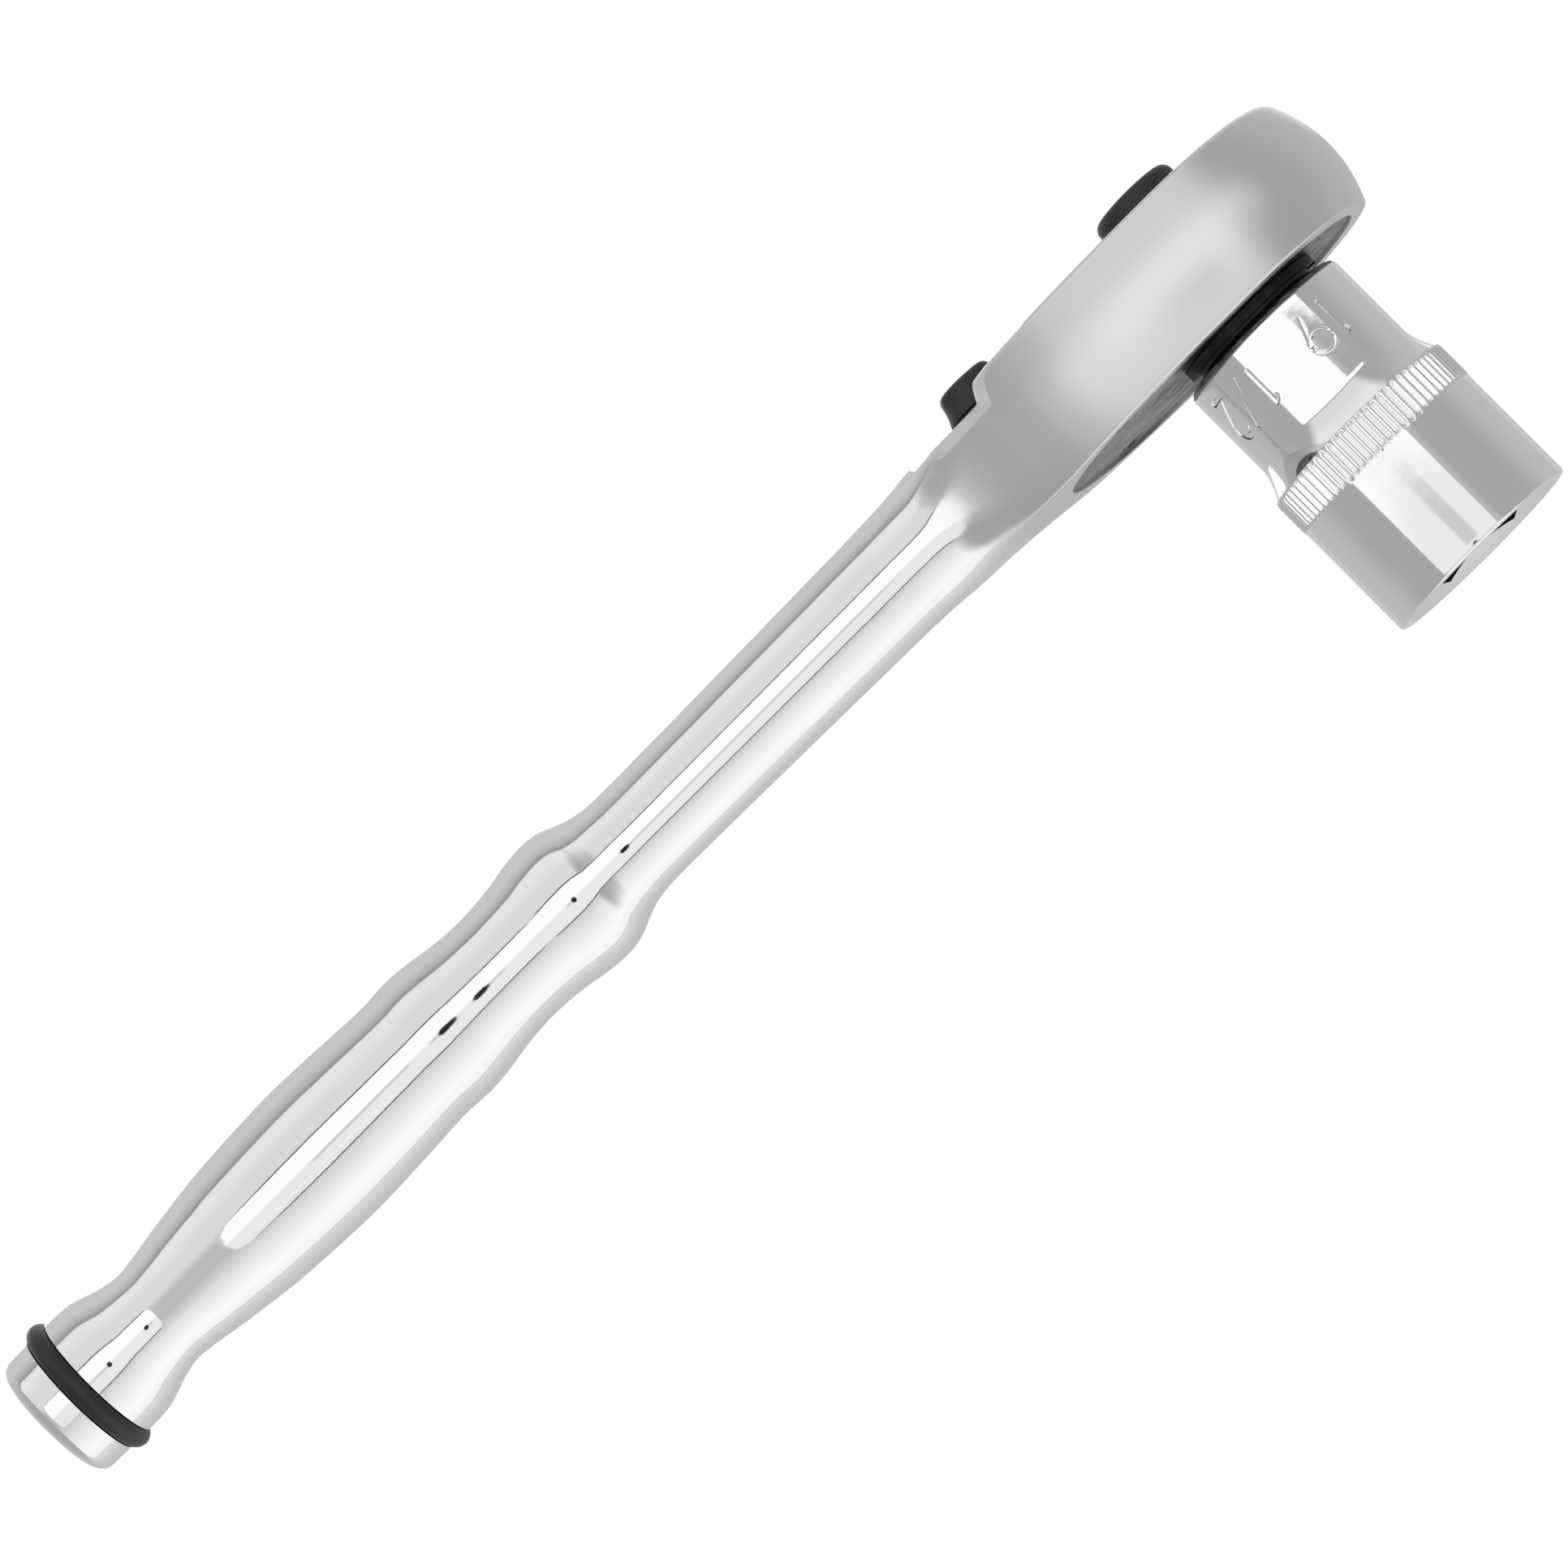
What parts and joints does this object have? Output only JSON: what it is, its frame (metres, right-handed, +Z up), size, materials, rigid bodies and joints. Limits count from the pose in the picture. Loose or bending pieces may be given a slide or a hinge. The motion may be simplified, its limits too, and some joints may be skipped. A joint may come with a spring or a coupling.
{
  "type": "ratchet wrench",
  "caption": "Half-inch-drive ratchet wrench with waisted round handle, reversing lever, quick-release button and a hex socket on its drive square.",
  "frame": {"origin": "on the drive axis, at the shoulder of the drive square that the socket seats against", "axes": "+Z up through the release button, -Z along the drive square towards the socket mouth, -X along the handle to the butt"},
  "size_m": [0.2228, 0.0436, 0.062],
  "materials": {
    "chrome_body": "polished chrome plate",
    "chrome_socket": "polished chrome plate, satin bands between the knurls",
    "satin_plate": "satin ground steel with an oily film",
    "black_steel": "black phosphate, oiled",
    "bright_steel": "bright ground steel",
    "spring_steel": "drawn wire",
    "brass": "rolled",
    "black_plastic": "moulded, satin",
    "black_rubber": "moulded, satin"
  },
  "bodies": {
    "body": {"ratchet_body": "chrome_body", "cover_plate": "satin_plate", "cover_screws": "black_steel", "grip_ring": "black_rubber", "gear_washer": "brass", "pawl_pivot_pin": "bright_steel", "lever_seal": "black_rubber"},
    "drive": {"drive_gear": "black_steel", "gear_retaining_ring": "black_steel", "release_spring": "spring_steel"},
    "release": {"release_button": "black_plastic", "release_pin": "bright_steel"},
    "ball": {"detent_ball": "bright_steel"},
    "lever": {"reversing_lever": "black_plastic", "lever_stem": "bright_steel", "lever_circlip": "spring_steel", "plunger_spring": "spring_steel"},
    "plunger": {"pawl_plunger": "bright_steel"},
    "pawl": {"pawl": "black_steel"},
    "socket": {"socket": "chrome_socket"}
  },
  "joints": [
    {"name": "drive_turn", "type": "hinge", "parent": "body", "child": "drive", "pos_m": [0, 0, 0], "axis": [0, 0, 1], "continuous": true},
    {"name": "release_press", "type": "slide", "parent": "drive", "child": "release", "axis": [0, 0, -1], "range_m": [0, 0.002], "stiffness_N_per_m": 900, "deforming": ["release_spring"]},
    {"name": "ball_retract", "type": "slide", "parent": "drive", "child": "ball", "axis": [-1, 0, 0], "range_m": [0, 0.0007]},
    {"name": "lever_turn", "type": "hinge", "parent": "body", "child": "lever", "pos_m": [-0.025, 0, 0], "axis": [0, 0, -1], "range_deg": [0, 56]},
    {"name": "plunger_press", "type": "slide", "parent": "lever", "child": "plunger", "axis": [-0.8829, -0.4695, 0], "range_m": [0, 0.0006], "stiffness_N_per_m": 2000, "deforming": ["plunger_spring"]},
    {"name": "pawl_rock", "type": "hinge", "parent": "body", "child": "pawl", "pos_m": [-0.017, 0, 0], "axis": [0, 0, 1], "range_deg": [0, 8]},
    {"name": "socket_slide", "type": "slide", "parent": "drive", "child": "socket", "axis": [0, 0, -1], "range_m": [0, 0.018]}
  ],
  "couplings": [
    {"joint": "ball_retract", "follows": "release_press", "ratio": 0.35},
    {"joint": "pawl_rock", "follows": "lever_turn", "ratio": 0.14286}
  ]
}
